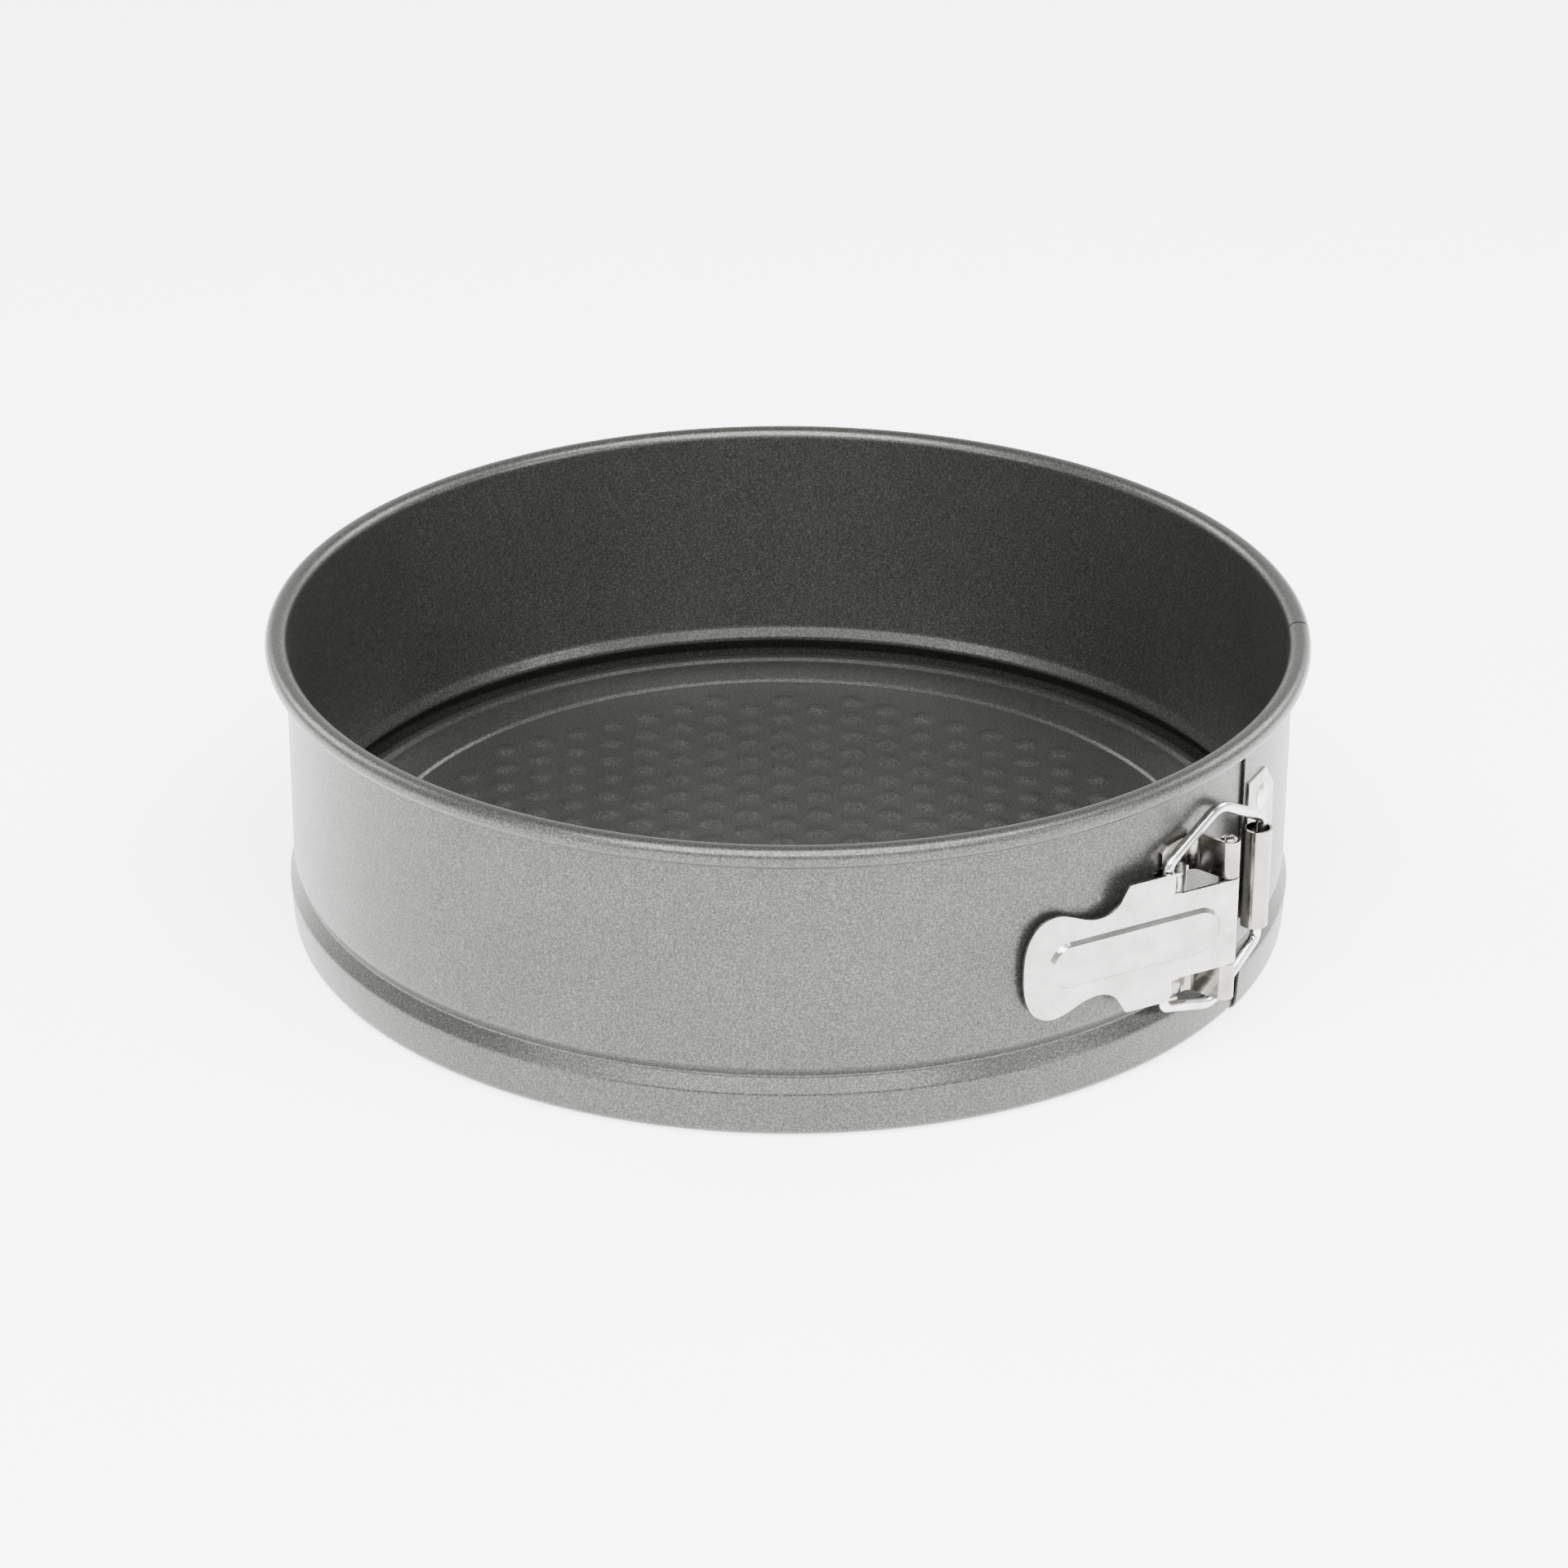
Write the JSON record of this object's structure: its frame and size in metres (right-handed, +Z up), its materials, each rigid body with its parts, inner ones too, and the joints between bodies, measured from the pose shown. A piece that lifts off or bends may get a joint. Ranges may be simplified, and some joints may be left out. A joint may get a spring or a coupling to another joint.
{
  "type": "springform pan",
  "caption": "Round cake pan with a rolled steel ring whose ends overlap under an over-centre lever latch, and a separate dimpled base that lifts out.",
  "frame": {"origin": "centre of the pan's circle, in the plane of the lip that the pan stands on", "axes": "+Z up along the pan's axis; -Y towards the latch's hinge pin; +X follows from the right-hand rule"},
  "size_m": [0.2386, 0.2451, 0.0704],
  "materials": {
    "dark_coating": "grey non-stick coating with a fine metallic speckle, satin",
    "bright_steel": "bright pressed steel, lightly worn",
    "wire_steel": "bright drawn wire",
    "rivet_metal": "satin"
  },
  "bodies": {
    "ring": {"band": "dark_coating", "hinge_bracket": "bright_steel", "hinge_pin": "bright_steel", "hinge_rivet_upper": "rivet_metal", "hinge_rivet_lower": "rivet_metal", "catch_bracket": "bright_steel", "catch_rivet_upper": "rivet_metal", "catch_rivet_lower": "rivet_metal"},
    "lever": {"lever": "bright_steel"},
    "bail": {"wire_bail": "wire_steel"},
    "base": {"base_plate": "dark_coating"}
  },
  "joints": [
    {"name": "lever_swing", "type": "hinge", "parent": "ring", "child": "lever", "pos_m": [0, -0.1235, 0.034], "axis": [0, 0, 1], "range_deg": [0, 80]},
    {"name": "bail_swing", "type": "hinge", "parent": "lever", "child": "bail", "pos_m": [-0.01462, -0.11751, 0.0334], "axis": [0, 0, 1], "range_deg": [-46.6, 0.1]},
    {"name": "base_lift", "type": "slide", "parent": "ring", "child": "base", "axis": [0, 0, 1], "range_m": [0, 0.08]}
  ],
  "couplings": [
    {"joint": "bail_swing", "follows": "lever_swing", "ratio": -0.581}
  ]
}
